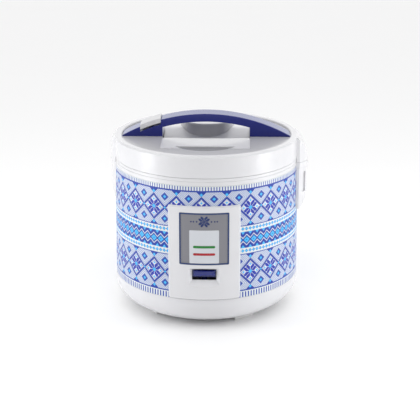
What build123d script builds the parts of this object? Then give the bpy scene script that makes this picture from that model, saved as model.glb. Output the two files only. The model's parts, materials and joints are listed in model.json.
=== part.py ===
"""Jar-type rice cooker with a side-hinged lid, an arched lid handle and a keep-warm switch.

Millimetres. +Z is up, the feet stand on Z = 0 and the origin is on the body's axis.
The control panel faces -Y, the lid's hinge is at +X and its latch at -X.
"""

from build123d import *
from math import radians, sin, sqrt
import os

os.makedirs("parts", exist_ok=True)

# ---- Driving dimensions -------------------------------------------------------------
BODY_R = 130.0          # outside radius of the upper ring and the lid
FLARE_R = 132.6         # outside radius of the base shell; the wrap tapers up to BODY_R
GAP = 0.3               # air between parts that move past each other
WALL = 2.5              # moulded wall of the shells

BASE_FLAT_R = 86.0      # where the bowl's curve leaves the flat underside
BASE_FLAT_Z = 5.5
BASE_SIDE_Z = 42.0      # where the bowl's curve becomes vertical
BASE_TOP_Z = 49.5       # joint between base shell and wrap
RING_Z = 211.5          # joint between wrap and upper ring
PART_Z = 222.0          # parting line between body and lid
RIM_Z = 252.0           # top of the lid's rim
DECK_Z = 249.5          # top of the lid's deck inside the rim
RIM_R = 120.0           # inner edge of the lid's rim

HANDLE_HALF = 118.5     # half length of the arched handle
HANDLE_DEPTH = 29.0
HANDLE_TOP_Z = 282.0
HANDLE_ARC = 241.0      # radius of the arch's top
GRIP_HALF = 61.5        # half width of the finger gap and of the white strip
GRIP_ARC = 235.0        # radius of the gap's top
GRIP_TOP_Z = 271.0

CAP_R = 38.0            # steam vent cap
CAP_Y = 54.0
CAP_TOP_Z = 260.0

HINGE_X = 141.0         # lid hinge axis, along Y
HINGE_Z = 211.5
KNUCKLE_R = 3.9
EAR_HALF = 27.0         # half width of both ears
EAR_JOINT_Z = 215.5     # where the ears split between lid and body

LATCH_X = -124.0        # latch pivot, along Y
LATCH_Z = 236.0
LEVER_ARM_Z = 240.4     # top of the latch lever's arm, under the button's stem
BUTTON_X = (-93.0, -64.0)
STEM_X = -79.5          # the button's stem
BUTTON_FLOOR = 234.4    # arc radius of the button notch's floor
NOTCH_TOP = HANDLE_TOP_Z - (HANDLE_ARC - BUTTON_FLOOR)
HANDLE_FOOT_Z = DECK_Z + 0.1

PANEL_HALF = 49.0
PANEL_TOP_Z = 184.0
PANEL_LIFT = 3.0        # how far the panel stands proud of the wrap
LABEL_HALF = 33.8
LABEL_Z = (101.6, 175.4)
INSERT_HALF = 20.0
INSERT_Z = (103.5, 151.0)
BAR_HALF = 15.0
BAR_TALL = 3.4
WARM_Z = 127.5
COOK_Z = 117.0
KEY_SLOT_HALF = 16.6
KEY_SLOT_Z = (78.4, 93.8)
KEY_HALF = 14.4
KEY_Z = (84.3, 92.1)

POT_R = 110.0
POT_RIM_Z = 218.1       # underside of the pot's rim flange
PLATE_R = 88.0          # cast heating plate
PLATE_TOP_Z = 75.5
PLATE_LOW_Z = 62.0
LINER_FLOOR_Z = 51.0
LEVER_PIVOT_Y = -60.0
LEVER_Z = 41.5
ELEMENT_R = 62.0        # tubular heating element under the plate
ELEMENT_Z = 58.0
ELEMENT_WIRE = 4.5

INLET_HALF = 15.0       # power inlet at the back of the bowl
INLET_Z = 30.0
INLET_TALL = 22.0
INLET_BACK = 96.0
INLET_FACE = 129.5
INLET_PINS = ((-7, INLET_Z - 1.5), (0, INLET_Z + 2.5), (7, INLET_Z - 1.5))


def keep(piece, name):
    """Label a finished sub-part and write its STEP file."""
    piece.part.label = name
    export_step(piece.part, f"parts/{name}.step")


def crown(radius, lift=0.0):
    """Height of the gently domed heating plate at a radius; the pot's floor follows it."""
    drop = 3.5
    dome = (PLATE_R**2 + drop**2) / (2 * drop)
    return PLATE_TOP_Z + lift - dome + sqrt(dome**2 - radius**2)


def arch(x, radius, top):
    """Height of a handle arc at x."""
    return top - radius + sqrt(radius**2 - x**2)


def ear_plan(apex, half, sagitta):
    """Plan outline of an ear: a shallow arc through the apex, closed inside the body."""
    side = apex - sagitta if apex > 0 else apex + sagitta
    inside = 100.0 if apex > 0 else -100.0
    with BuildSketch() as plan:
        with BuildLine():
            ThreePointArc((side, -half), (apex, 0), (side, half))
            Polyline((side, half), (inside, half), (inside, -half), (side, -half))
        make_face()
    return plan.sketch


def wall_r(z):
    """Outside radius of the tapered wrap at a height."""
    return BODY_R + (FLARE_R - BODY_R) * (RING_Z - z) / (RING_Z - BASE_TOP_Z)


def body_core(lift):
    """The tapered body grown by lift: a tool that cuts side pieces clear of the wrap."""
    with BuildPart() as core:
        with BuildSketch(Plane.XZ):
            Polygon((0, BASE_TOP_Z), (FLARE_R + lift, BASE_TOP_Z), (BODY_R + lift, RING_Z),
                    (BODY_R + lift, PART_Z), (0, PART_Z))
        revolve(axis=Axis.Z)
    return core.part


def front_panel(inner, outer, half, z_low, z_high, corner):
    """A skin between two offsets from the wrap, cut to a rounded rectangle seen from -Y."""
    with BuildPart() as piece:
        with BuildSketch(Plane.XZ):
            Polygon((wall_r(z_low) + inner, z_low), (wall_r(z_low) + outer, z_low),
                    (wall_r(z_high) + outer, z_high), (wall_r(z_high) + inner, z_high))
        revolve(axis=Axis.Z)
        with BuildSketch(Plane.XZ):
            with Locations((0, (z_low + z_high) / 2)):
                RectangleRounded(2 * half, z_high - z_low, corner)
        extrude(amount=BODY_R + 20, mode=Mode.INTERSECT)
    return piece.part


def coil(center, direction, radius, wire, height, turns):
    """A round-wire coil spring starting at center and wound along direction."""
    with BuildPart() as spring:
        with BuildLine() as path:
            Helix(height / turns, height, radius, center=center, direction=direction)
        with BuildSketch(Plane(path.line @ 0, z_dir=path.line % 0)):
            Circle(wire / 2)
        sweep(is_frenet=True)
    return spring.part


# ---- Body ---------------------------------------------------------------------------
def base_shell():
    """The white moulded bowl that everything stands in."""
    lip_out, lip_in, lip_top = 131.0, 129.5, 56.0
    with BuildPart() as shell:
        with BuildSketch(Plane.XZ):
            with BuildLine():
                Line((72, BASE_FLAT_Z), (BASE_FLAT_R, BASE_FLAT_Z))
                EllipticalCenterArc((BASE_FLAT_R, BASE_SIDE_Z), FLARE_R - BASE_FLAT_R,
                                    BASE_SIDE_Z - BASE_FLAT_Z, start_angle=-90, arc_size=90)
                Polyline((FLARE_R, BASE_SIDE_Z), (FLARE_R, BASE_TOP_Z), (lip_out, BASE_TOP_Z),
                         (lip_out, lip_top), (lip_in, lip_top), (lip_in, BASE_SIDE_Z))
                EllipticalCenterArc((BASE_FLAT_R, BASE_SIDE_Z), lip_in - BASE_FLAT_R,
                                    BASE_SIDE_Z - BASE_FLAT_Z - WALL, start_angle=0, arc_size=-90)
                Polyline((BASE_FLAT_R, BASE_FLAT_Z + WALL), (72, BASE_FLAT_Z + WALL),
                         (72, BASE_FLAT_Z))
            make_face()
        revolve(axis=Axis.Z)
        with BuildSketch(Plane.XY.offset(BASE_FLAT_Z + 1)):
            with PolarLocations(78, 4, start_angle=45):
                Circle(4)
        extrude(amount=11)
        with BuildSketch(Plane.XY.offset(BASE_FLAT_Z)):
            with PolarLocations(78, 4, start_angle=45):
                Circle(1.5)
        extrude(amount=10, mode=Mode.SUBTRACT)
        with BuildSketch(Plane.XZ.offset(-INLET_BACK)):
            with Locations((0, INLET_Z)):
                Rectangle(2 * INLET_HALF, INLET_TALL)
        extrude(amount=-40, mode=Mode.SUBTRACT)
    keep(shell, "base_shell")


def bottom_cover():
    """Pressed steel plate under the base, with a plateau and vent slots."""
    sheet, flange_z, plateau_z = 1.2, BASE_FLAT_Z - 1.2, 2.0
    with BuildPart() as cover:
        with BuildSketch(Plane.XZ):
            Polygon((0, plateau_z), (57, plateau_z), (60, flange_z), (83.5, flange_z),
                    (83.5, BASE_FLAT_Z), (59.2, BASE_FLAT_Z), (56.2, plateau_z + sheet),
                    (0, plateau_z + sheet))
        revolve(axis=Axis.Z)
        with BuildSketch(Plane.XY):
            with PolarLocations(40, 12):
                SlotOverall(18, 3.2)
            with PolarLocations(78, 4, start_angle=45):
                Circle(1.6)
        extrude(amount=10, mode=Mode.SUBTRACT)
    keep(cover, "bottom_cover")


def cover_screws():
    """Four pan-head screws that hold the bottom cover to the base's bosses."""
    with BuildPart() as screws:
        with BuildSketch(Plane.XY.offset(BASE_FLAT_Z - 1.2)):
            with PolarLocations(78, 4, start_angle=45):
                Circle(1.45)
        extrude(amount=9)
        with BuildSketch(Plane.XY.offset(BASE_FLAT_Z - 2.9)):
            with PolarLocations(78, 4, start_angle=45):
                Circle(3)
        extrude(amount=1.7)
        with BuildSketch(Plane.XY.offset(BASE_FLAT_Z - 2.9)):
            with PolarLocations(78, 4, start_angle=45):
                Rectangle(3.6, 0.8)
                Rectangle(0.8, 3.6)
        extrude(amount=0.9, mode=Mode.SUBTRACT)
    keep(screws, "cover_screws")


def feet():
    """Four arc-shaped pads under the bowl; they follow the bowl's underside."""
    foot_in, foot_out, half_arc, first = 87.0, 98.0, 10.0, -55.0
    middle = (foot_in + foot_out) / 2
    with BuildPart() as pads:
        with BuildSketch(Plane.XY):
            Circle(foot_out)
            Circle(foot_in, mode=Mode.SUBTRACT)
            with PolarLocations(middle, 4, start_angle=first):
                Rectangle(30, 2 * middle * sin(radians(half_arc)), mode=Mode.INTERSECT)
        extrude(amount=12)
        chamfer(pads.faces().sort_by(Axis.Z)[:4].edges(), 1.0)
        with BuildSketch(Plane.XZ):
            with BuildLine():
                Line((0, BASE_FLAT_Z), (BASE_FLAT_R, BASE_FLAT_Z))
                EllipticalCenterArc((BASE_FLAT_R, BASE_SIDE_Z), FLARE_R - BASE_FLAT_R,
                                    BASE_SIDE_Z - BASE_FLAT_Z, start_angle=-90, arc_size=90)
                Polyline((FLARE_R, BASE_SIDE_Z), (0, BASE_SIDE_Z), (0, BASE_FLAT_Z))
            make_face()
        revolve(axis=Axis.Z, mode=Mode.SUBTRACT)
    keep(pads, "feet")


def body_wrap():
    """The printed sheet sleeve around the body, cut out for the control panel."""
    sheet, low, high = 1.2, BASE_TOP_Z + GAP, RING_Z - GAP
    with BuildPart() as wrap:
        with BuildSketch(Plane.XZ):
            Polygon((wall_r(low) - sheet, low), (wall_r(low), low), (wall_r(high), high),
                    (wall_r(high) - sheet, high))
        revolve(axis=Axis.Z)
        with BuildSketch(Plane.XZ):
            with Locations((0, PANEL_TOP_Z / 2)):
                Rectangle(2 * PANEL_HALF - 6, PANEL_TOP_Z - 6)
        extrude(amount=BODY_R + 5, mode=Mode.SUBTRACT)
    keep(wrap, "body_wrap")


def upper_ring():
    """White ring that closes the body, carries the liner and holds the latch's ledge."""
    with BuildPart() as collar:
        with BuildSketch(Plane.XZ):
            Polygon((BODY_R, RING_Z), (BODY_R, 216.9), (BODY_R - 0.5, 217.3), (BODY_R, 217.7),
                    (BODY_R, 221.3), (BODY_R - 0.5, 221.8), (119.5, 221.8), (119.5, 216.8),
                    (116.6, 216.8), (116.6, 214.8), (122, 214.8), (122, 219.3), (126.6, 219.3),
                    (126.6, 205), (128.5, 205), (128.5, RING_Z))
        revolve(axis=Axis.Z)
        with BuildSketch(Plane.XY.offset(204)):
            with Locations((-130, 0)):
                Rectangle(10, 17)
        extrude(amount=20, mode=Mode.SUBTRACT)
    keep(collar, "upper_ring")


def inner_liner():
    """Aluminium cup around the pot; it hangs from the ring and carries the heating plate."""
    with BuildPart() as cup:
        with BuildSketch(Plane.XZ):
            Polygon((30, LINER_FLOOR_Z), (115, LINER_FLOOR_Z), (115, 216.8), (119.2, 216.8),
                    (119.2, 217.6), (114.2, 217.6), (114.2, LINER_FLOOR_Z + 0.8),
                    (30, LINER_FLOOR_Z + 0.8))
        revolve(axis=Axis.Z)
    keep(cup, "inner_liner")


def heating_plate():
    """Cast aluminium plate with a rib that holds the tubular element."""
    with BuildPart() as plate:
        with BuildSketch(Plane.XZ):
            with BuildLine():
                ThreePointArc((22, crown(22)), (60, crown(60)), (PLATE_R, crown(PLATE_R)))
                Polyline((PLATE_R, crown(PLATE_R)), (PLATE_R, PLATE_LOW_Z + 3),
                         (PLATE_R - 4, PLATE_LOW_Z), (69.5, PLATE_LOW_Z), (69, ELEMENT_Z + 1),
                         (55, ELEMENT_Z + 1), (54.5, PLATE_LOW_Z), (22, PLATE_LOW_Z),
                         (22, crown(22)))
            make_face()
        revolve(axis=Axis.Z)
        with BuildSketch(Plane.XZ):
            with Locations((ELEMENT_R, ELEMENT_Z)):
                Circle(ELEMENT_WIRE + 0.1)
        revolve(axis=Axis.Z, mode=Mode.SUBTRACT)
    keep(plate, "heating_plate")


def heating_element():
    """Sheathed tube bent round in the plate's rib, with two terminals turned down."""
    with BuildPart() as element:
        with BuildSketch(Plane.XZ):
            with Locations((ELEMENT_R, ELEMENT_Z)):
                Circle(ELEMENT_WIRE)
        revolve(axis=Axis.Z, revolution_arc=330)
        ends = [element.faces().filter_by(GeomType.PLANE)[i].center() for i in (0, 1)]
        with BuildSketch(Plane.XY.offset(ELEMENT_Z - 1)):
            with Locations(*[(end.X, end.Y) for end in ends]):
                Circle(3.2)
        extrude(amount=-5)
    keep(element, "heating_element")


def plate_legs():
    """Three spacers between the liner's floor and the heating plate."""
    with BuildPart() as legs:
        with BuildSketch(Plane.XY.offset(LINER_FLOOR_Z + 0.8)):
            with PolarLocations(78, 3, start_angle=30):
                Circle(4.5)
        extrude(amount=PLATE_LOW_Z - LINER_FLOOR_Z - 0.8)
    keep(legs, "plate_legs")


def thermal_fuse():
    """Cut-out fuse in its sleeve, clamped under the heating plate."""
    with BuildPart() as fuse:
        with BuildSketch(Plane.YZ.offset(-9)):
            with Locations((78, 57.5)):
                Circle(2.2)
        extrude(amount=18)
        with BuildSketch(Plane.XY.offset(PLATE_LOW_Z)):
            with Locations((0, 78)):
                Rectangle(5, 7)
        extrude(amount=-7)
    keep(fuse, "thermal_fuse")


def thermostat_can():
    """Fixed guide of the magnetic thermostat, hung under the heating plate."""
    with BuildPart() as can:
        with BuildSketch(Plane.XZ):
            Polygon((17, 49.5), (18.3, 49.5), (18.3, 60.6), (28, 60.6), (28, PLATE_LOW_Z),
                    (17, PLATE_LOW_Z))
        revolve(axis=Axis.Z)
    keep(can, "thermostat_can")


def sensor_cap():
    """Aluminium feeler that the pot presses down, with the Curie-point ferrite inside."""
    with BuildPart() as cap:
        with BuildSketch(Plane.XZ):
            Polygon((0, 69.8), (14, 69.8), (14, 50.5), (16.4, 50.5), (16.4, 73), (20.6, 73),
                    (20.6, 74.6), (20, 75.3), (0, 75.3))
        revolve(axis=Axis.Z)
    keep(cap, "sensor_cap")


def magnet_plunger():
    """Magnet on a rod, lifted to the ferrite by the lever when cooking starts."""
    with BuildPart() as plunger:
        with BuildSketch(Plane.XY.offset(57.4)):
            Circle(13)
        extrude(amount=6)
        with BuildSketch(Plane.XY.offset(LEVER_Z + 1.5 + GAP)):
            Circle(3)
        extrude(amount=58 - LEVER_Z - 1.5 - GAP)
        fillet(plunger.edges().sort_by(Axis.Z)[-1], 0.8)
    keep(plunger, "magnet_plunger")


def springs():
    """Coil springs of the feeler, the switch key, the latch and the lid hinge."""
    with BuildPart() as sensor_spring:
        add(coil((0, 0, 63.0), (0, 0, 1), 18.5, 1.0, 9.2, 4))
    keep(sensor_spring, "sensor_spring")
    with BuildPart() as key_spring:
        add(coil((-10, -120.1, 57.4), (0, 0, 1), 2.4, 0.7, 21.2, 9))
    keep(key_spring, "key_spring")
    with BuildPart() as latch_spring:
        add(coil((-100, 0, 227.0), (0, 0, 1), 3.2, 0.8, 8.6, 6))
    keep(latch_spring, "latch_spring")
    with BuildPart() as hinge_spring:
        add(coil((HINGE_X, -3.6, HINGE_Z), (0, 1, 0), 2.35, 0.5, 7.2, 8))
    keep(hinge_spring, "hinge_spring")


# ---- Cook switch --------------------------------------------------------------------
def cook_lever():
    """Steel bar that turns the key's push into the plunger's lift."""
    with BuildPart() as lever:
        with BuildSketch(Plane.XY.offset(LEVER_Z - 1.5)):
            with Locations((0, -57.5)):
                SlotOverall(127, 8, rotation=90)
        extrude(amount=3)
        with BuildSketch(Plane.YZ.offset(-4)):
            with Locations((LEVER_PIVOT_Y, LEVER_Z)):
                Circle(3.2)
        extrude(amount=8)
        with BuildSketch(Plane.YZ.offset(-5)):
            with Locations((LEVER_PIVOT_Y, LEVER_Z)):
                Circle(1.55)
        extrude(amount=10, mode=Mode.SUBTRACT)
    keep(lever, "cook_lever")


def lever_bracket():
    """Steel yoke under the liner that carries the lever's pin."""
    with BuildPart() as yoke:
        with BuildSketch(Plane.XY.offset(LINER_FLOOR_Z)):
            with Locations((0, LEVER_PIVOT_Y)):
                Rectangle(24, 14)
        extrude(amount=-1.2)
        with BuildSketch(Plane.XY.offset(LINER_FLOOR_Z)):
            with Locations((-5.6, LEVER_PIVOT_Y), (5.6, LEVER_PIVOT_Y)):
                Rectangle(1.6, 12)
        extrude(amount=-13.5)
        with BuildSketch(Plane.YZ.offset(-8)):
            with Locations((LEVER_PIVOT_Y, LEVER_Z)):
                Circle(1.5)
        extrude(amount=16, mode=Mode.SUBTRACT)
    keep(yoke, "lever_bracket")
    with BuildPart() as pin:
        with BuildSketch(Plane.YZ.offset(-7.4)):
            with Locations((LEVER_PIVOT_Y, LEVER_Z)):
                Circle(1.5)
        extrude(amount=14.8)
    keep(pin, "lever_pin")


def cook_key():
    """The blue switch key with its guide flange and the push stem behind the panel."""
    middle = (KEY_Z[0] + KEY_Z[1]) / 2
    tall = KEY_Z[1] - KEY_Z[0]
    with BuildPart() as key:
        with BuildSketch(Plane.XZ.offset(124)):
            with Locations((0, middle)):
                Rectangle(2 * KEY_HALF, tall)
        extrude(amount=9.2)
        chamfer(key.faces().sort_by(Axis.Y)[0].edges(), 2.2)
        with BuildSketch(Plane.XZ.offset(120)):
            with Locations((0, middle + 0.6)):
                Rectangle(39, 17.6)
        extrude(amount=4)
        with BuildSketch(Plane.XZ.offset(118.6)):
            with Locations((0, (LEVER_Z + 1.5 + GAP + 80) / 2)):
                Rectangle(7, 80 - LEVER_Z - 1.5 - GAP)
        extrude(amount=3.2)
    keep(key, "cook_key")


def switch_bracket():
    """Pressed bracket behind the panel with a seat for the key's spring."""
    with BuildPart() as bracket:
        with BuildSketch(Plane.XZ.offset(123.2)):
            with Locations((4, 62)):
                Rectangle(36, 15)
        extrude(amount=1.0)
        with BuildSketch(Plane.XY.offset(55.2)):
            with Locations((-10, -120.7)):
                Rectangle(8, 6.4)
        extrude(amount=1.3)
    keep(bracket, "switch_bracket")
    with BuildPart() as micro:
        with BuildSketch(Plane.XZ.offset(117.4)):
            with Locations((14, 62)):
                Rectangle(16, 10)
        extrude(amount=5.8)
        with BuildSketch(Plane.XZ.offset(117.4)):
            with Locations((9, 62), (14, 62), (19, 62)):
                Rectangle(1.2, 4)
        extrude(amount=-1.4)
    keep(micro, "microswitch")


# ---- Control panel ------------------------------------------------------------------
def control_panel():
    """White front moulding with a bevelled edge, a label field and the switch opening."""
    front = front_panel(0.05, PANEL_LIFT, PANEL_HALF, BASE_TOP_Z + GAP, PANEL_TOP_Z, 3)
    back = front_panel(-3.6, 1, PANEL_HALF - 3.5, 57, PANEL_TOP_Z - 3.6, 2)
    label = front_panel(PANEL_LIFT - 0.9, PANEL_LIFT + 5, LABEL_HALF, *LABEL_Z, 1.5)
    face_y = wall_r(KEY_Z[0]) + PANEL_LIFT
    slot_mid = (KEY_SLOT_Z[0] + KEY_SLOT_Z[1]) / 2
    slot_tall = KEY_SLOT_Z[1] - KEY_SLOT_Z[0]
    with BuildPart() as panel:
        add(front)
        chamfer(panel.faces().sort_by(Axis.Y)[0].edges(), 2.9, 2.0)
        add(back)
        add(label, mode=Mode.SUBTRACT)
        with BuildSketch(Plane.XZ.offset(face_y + 0.5)):
            with Locations((0, 82.9)):
                RectangleRounded(48, 28.4, 2)
        with BuildSketch(Plane.XZ.offset(face_y - 5.4)):
            with Locations((0, slot_mid)):
                RectangleRounded(2 * KEY_SLOT_HALF, slot_tall, 1)
        loft(mode=Mode.SUBTRACT)
        with BuildSketch(Plane.XZ.offset(120)):
            with Locations((0, slot_mid)):
                Rectangle(2 * KEY_SLOT_HALF, slot_tall)
            for bar_z in (WARM_Z, COOK_Z):
                with Locations((0, bar_z)):
                    SlotOverall(2 * BAR_HALF, BAR_TALL)
        extrude(amount=20, mode=Mode.SUBTRACT)
    keep(panel, "control_panel")


def label_pieces():
    """Border, field and insert of the label, and the two indicator lenses through them."""
    low, high = LABEL_Z
    rim = 2.2
    face = PANEL_LIFT
    outer = front_panel(face - 0.85, face + 0.15, LABEL_HALF - 0.1, low + 0.1, high - 0.1, 1.5)
    inner = front_panel(face - 2, face + 2, LABEL_HALF - rim, low + rim, high - rim, 0.8)
    field = front_panel(face - 0.85, face - 0.35, LABEL_HALF - rim - 0.05, low + rim + 0.05,
                        high - rim - 0.05, 0.7)
    card = front_panel(face - 0.35, face - 0.1, INSERT_HALF, INSERT_Z[0] + 0.5, INSERT_Z[1], 1.2)
    with BuildPart() as border:
        add(outer)
        add(inner, mode=Mode.SUBTRACT)
    keep(border, "label_border")
    for name, plate in (("label_plate", field), ("label_insert", card)):
        with BuildPart() as layer:
            add(plate)
            with BuildSketch(Plane.XZ.offset(120)):
                with Locations((0, WARM_Z), (0, COOK_Z)):
                    SlotOverall(2 * BAR_HALF, BAR_TALL)
            extrude(amount=20, mode=Mode.SUBTRACT)
        keep(layer, name)
    lens_wall = front_panel(-5, face + 0.1, BAR_HALF + 2, 100, 145, 1)
    for name, bar_z in (("warm_lens", WARM_Z), ("cook_lens", COOK_Z)):
        with BuildPart() as lens:
            with BuildSketch(Plane.XZ.offset(120)):
                with Locations((0, bar_z)):
                    SlotOverall(2 * BAR_HALF - 0.1, BAR_TALL - 0.1)
            extrude(amount=20)
            add(lens_wall, mode=Mode.INTERSECT)
        keep(lens, name)


def indicator_lamps():
    """Circuit board behind the panel and the two glow lamps that light the lenses."""
    with BuildPart() as board:
        with BuildSketch(Plane.XZ.offset(117.2)):
            with Locations((0, 122)):
                RectangleRounded(42, 28, 2)
        extrude(amount=1.6)
    keep(board, "lamp_board")
    with BuildPart() as lamps:
        with BuildSketch(Plane.YZ.offset(-12)):
            with Locations((-121.4, WARM_Z), (-121.4, COOK_Z)):
                Circle(2.6)
        extrude(amount=24)
    keep(lamps, "indicator_lamps")


# ---- Power inlet --------------------------------------------------------------------
def power_inlet():
    """Socket housing at the back for a detachable lead, with its three contact pins."""
    with BuildPart() as housing:
        with BuildSketch(Plane.XZ.offset(-INLET_BACK)):
            with Locations((0, INLET_Z)):
                Rectangle(2 * INLET_HALF, INLET_TALL)
        extrude(amount=-(INLET_FACE - INLET_BACK))
        chamfer(housing.faces().sort_by(Axis.Y)[-1].edges(), 0.8)
        with BuildSketch(Plane.XZ.offset(-INLET_FACE)):
            with Locations((0, INLET_Z)):
                RectangleRounded(24, 16, 2.5)
        extrude(amount=17, mode=Mode.SUBTRACT)
        with BuildSketch(Plane.XZ.offset(-INLET_BACK)):
            with Locations((0, INLET_Z)):
                Rectangle(24, 16)
        extrude(amount=-11, mode=Mode.SUBTRACT)
        with BuildSketch(Plane.XZ.offset(-INLET_BACK)):
            with Locations(*INLET_PINS):
                Rectangle(2, 4)
        extrude(amount=-20, mode=Mode.SUBTRACT)
    keep(housing, "power_inlet")
    with BuildPart() as pins:
        with BuildSketch(Plane.XZ.offset(-100)):
            with Locations(*INLET_PINS):
                Rectangle(2, 4)
        extrude(amount=-23)
    keep(pins, "inlet_pins")


# ---- Inner pot ----------------------------------------------------------------------
def inner_pot():
    """Removable cooking pot: domed floor, rounded corner, straight wall and rim flange."""
    skin, floor_r, corner = 1.5, 90.0, 20.0
    low = crown(floor_r, GAP)
    with BuildPart() as pot:
        with BuildSketch(Plane.XZ):
            with BuildLine():
                ThreePointArc((0, crown(0, GAP)), (50, crown(50, GAP)), (floor_r, low))
                RadiusArc((floor_r, low), (POT_R, low + corner), -corner)
                Polyline((POT_R, low + corner), (POT_R, POT_RIM_Z), (117.2, POT_RIM_Z),
                         (117.2, POT_RIM_Z + skin), (POT_R - skin, POT_RIM_Z + skin),
                         (POT_R - skin, low + corner))
                RadiusArc((POT_R - skin, low + corner), (floor_r, low + skin), corner - skin)
                ThreePointArc((floor_r, low + skin), (50, crown(50, GAP) + skin),
                              (0, crown(0, GAP) + skin))
                Line((0, crown(0, GAP) + skin), (0, crown(0, GAP)))
            make_face()
        revolve(axis=Axis.Z)
        fillet(pot.edges().group_by(Axis.Z)[-1], 0.6)
    keep(pot, "inner_pot")


# ---- Ears on the body ---------------------------------------------------------------
def hinge_block():
    """Fixed half of the lid hinge: the band on the right ear, with the pin through it."""
    with BuildPart() as block:
        with BuildSketch(Plane.XY.offset(HINGE_Z - 4)):
            add(ear_plan(145.5, EAR_HALF, 13.5))
        extrude(amount=8)
        add(body_core(0.05), mode=Mode.SUBTRACT)
        with BuildSketch(Plane.XZ):
            with Locations(((HINGE_X + 110) / 2, HINGE_Z)):
                Rectangle(HINGE_X - 110, 2 * KNUCKLE_R)
            with Locations((HINGE_X, HINGE_Z)):
                Circle(KNUCKLE_R)
        extrude(amount=40, both=True, mode=Mode.INTERSECT)
        with BuildSketch(Plane.XZ):
            with Locations((HINGE_X, HINGE_Z)):
                Rectangle(13, 12)
        extrude(amount=8, both=True, mode=Mode.SUBTRACT)
        with BuildSketch(Plane.XZ):
            with Locations((HINGE_X, HINGE_Z)):
                Circle(1.5)
        extrude(amount=14, both=True, mode=Mode.SUBTRACT)
        with BuildSketch(Plane.XY.offset(HINGE_Z - 5)):
            with Locations((133.5, 0)):
                SlotOverall(12, 3.2, rotation=90)
        extrude(amount=10, mode=Mode.SUBTRACT)
    keep(block, "hinge_block")
    with BuildPart() as pin:
        with BuildSketch(Plane.XZ):
            with Locations((HINGE_X, HINGE_Z)):
                Circle(1.5)
        extrude(amount=13.6, both=True)
    keep(pin, "hinge_pin")


def collector_rail():
    """Upright rail on the body that the dew collector slides onto."""
    with BuildPart() as rail:
        with BuildSketch(Plane.XY.offset(166)):
            with Locations((131.5, 0)):
                Rectangle(3.4, 12)
        extrude(amount=34)
        fillet(rail.edges().filter_by(Axis.Z).sort_by(Axis.X)[-2:], 1)
        add(body_core(0.05), mode=Mode.SUBTRACT)
    keep(rail, "collector_rail")


def dew_collector():
    """Cup under the hinge that catches condensate; it pulls off sideways."""
    top, bottom = HINGE_Z - 4.2, 147.0
    with BuildPart() as cup:
        with BuildSketch(Plane.XY.offset(bottom)):
            add(ear_plan(144.8, EAR_HALF, 13.0))
        extrude(amount=top - bottom)
        add(body_core(GAP), mode=Mode.SUBTRACT)
        with BuildSketch(Plane.XZ):
            with BuildLine():
                ThreePointArc((133, bottom), (141.3, 160.5), (144.9, 195))
                Polyline((144.9, 195), (144.9, top), (100, top), (100, bottom), (133, bottom))
            make_face()
        extrude(amount=40, both=True, mode=Mode.INTERSECT)
        with BuildSketch(Plane.XY.offset(bottom)):
            with Locations((131.5, 0)):
                Rectangle(4.2, 12.8)
        extrude(amount=top - bottom, mode=Mode.SUBTRACT)
        with BuildSketch(Plane.XY.offset(166)):
            add(ear_plan(142.6, 12, 3))
            Circle(BODY_R + 5.2, mode=Mode.SUBTRACT)
        extrude(amount=top - 166, mode=Mode.SUBTRACT)
        for side in (-1, 1):
            grip = Plane((137.3, side * 17.2, 185.7), x_dir=(0, 0, 1), z_dir=(0.84, side * 0.54, 0))
            with BuildSketch(grip):
                RectangleRounded(30, 7.6, 1.5)
            extrude(amount=8, mode=Mode.SUBTRACT)
    keep(cup, "dew_collector")


def latch_housing():
    """Body half of the left ear: the hollow guard that the latch hook drops into."""
    with BuildPart() as guard:
        with BuildSketch(Plane.XY.offset(162.5)):
            add(ear_plan(-135.7, EAR_HALF, 8.6))
        extrude(amount=EAR_JOINT_Z - GAP - 162.5)
        add(body_core(0.05), mode=Mode.SUBTRACT)
        with BuildSketch(Plane.XZ):
            with BuildLine():
                ThreePointArc((-131.4, 162.5), (-134.5, 176), (-135.8, 195))
                Polyline((-135.8, 195), (-135.8, 216), (-100, 216), (-100, 162.5), (-131.4, 162.5))
            make_face()
        extrude(amount=40, both=True, mode=Mode.INTERSECT)
        with BuildSketch(Plane.XY.offset(205)):
            with Locations((-129.2, 0)):
                Rectangle(10, 17)
        extrude(amount=12, mode=Mode.SUBTRACT)
    keep(guard, "latch_housing")


# ---- Lid ----------------------------------------------------------------------------
def lid_ear(plan, split_z, top, middle, low):
    """Lid half of an ear: its plan cut to a side profile that flows down from the rim."""
    inside = 110 if top[0] > 0 else -110
    with BuildPart() as ear:
        with BuildSketch(Plane.XY.offset(split_z)):
            add(plan)
        extrude(amount=RIM_Z - split_z)
        with BuildSketch(Plane.XZ):
            with BuildLine():
                ThreePointArc(top, middle, low)
                Polyline(low, (low[0], split_z), (inside, split_z), (inside, top[1]), top)
            make_face()
        extrude(amount=40, both=True, mode=Mode.INTERSECT)
    return ear.part


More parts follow.
